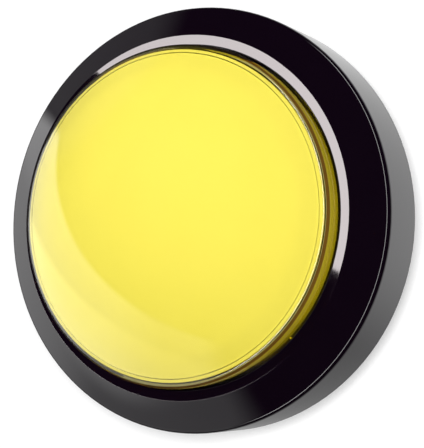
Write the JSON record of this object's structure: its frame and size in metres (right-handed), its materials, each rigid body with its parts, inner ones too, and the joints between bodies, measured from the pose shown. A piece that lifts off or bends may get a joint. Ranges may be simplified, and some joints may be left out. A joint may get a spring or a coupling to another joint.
{
  "type": "arcade push button",
  "caption": "Large illuminated push button: yellow domed lens in a round black bezel, with a threaded stem, clamp nut, return spring, lamp and snap-action switch.",
  "frame": {"origin": "on the button's axis at the panel face, where the stem leaves the bezel", "axes": "+Z out of the dome along the direction of the press; the stem hangs along -Z; +X towards the switch button"},
  "size_m": [0.1, 0.1, 0.1038],
  "materials": {
    "housing_black": "polished moulded",
    "lens_yellow": "clear polished",
    "diffuser_white": "matt moulded",
    "plunger_white": "satin moulded",
    "spring_steel": "drawn wire",
    "nut_black": "satin moulded",
    "holder_grey": "satin moulded",
    "lamp_white": "satin moulded",
    "led_clear": "milky clear",
    "tinned_wire": "tinned",
    "terminal_brass": "stamped",
    "switch_black": "fine matt",
    "switch_cover_grey": "fine matt",
    "button_red": "moulded",
    "blade_bronze": "rolled strip",
    "contact_silver": "headed"
  },
  "bodies": {
    "base": {"bezel_housing": "housing_black", "return_spring": "spring_steel", "lamp_switch_holder": "holder_grey", "lamp_base": "lamp_white", "lamp_led": "led_clear", "lamp_leads": "tinned_wire", "lamp_contact_front": "terminal_brass", "lamp_contact_rear": "terminal_brass", "microswitch_case": "switch_black", "microswitch_cover": "switch_cover_grey", "common_terminal": "terminal_brass", "normally_open_terminal": "terminal_brass", "normally_closed_terminal": "terminal_brass", "fixed_contacts": "contact_silver"},
    "dome": {"dome_lens": "lens_yellow", "light_diffuser": "diffuser_white", "lens_seat_ring": "plunger_white", "plunger": "plunger_white"},
    "nut": {"mounting_nut": "nut_black"},
    "switch_plunger": {"switch_button": "button_red"},
    "blade": {"snap_blade": "blade_bronze", "moving_contact": "contact_silver"}
  },
  "joints": [
    {"name": "press", "type": "slide", "parent": "base", "child": "dome", "axis": [0, 0, -1], "range_m": [0, 0.0045], "stiffness_N_per_m": 300, "springref_m": -0.004, "deforming": ["return_spring"]},
    {"name": "nut_travel", "type": "slide", "parent": "base", "child": "nut", "axis": [0, 0, -1], "range_m": [-0.0045, 0.021]},
    {"name": "switch_press", "type": "slide", "parent": "base", "child": "switch_plunger", "axis": [0, 0, -1], "range_m": [0, 0.0012]},
    {"name": "blade_snap", "type": "hinge", "parent": "base", "child": "blade", "pos_m": [-0.0039, 0, -0.05385], "axis": [0, 1, 0], "range_deg": [0, 2.51]}
  ],
  "couplings": [
    {"joint": "switch_press", "follows": "press", "ratio": 0.2666},
    {"joint": "blade_snap", "follows": "press", "rad_per_m": 9.72}
  ]
}
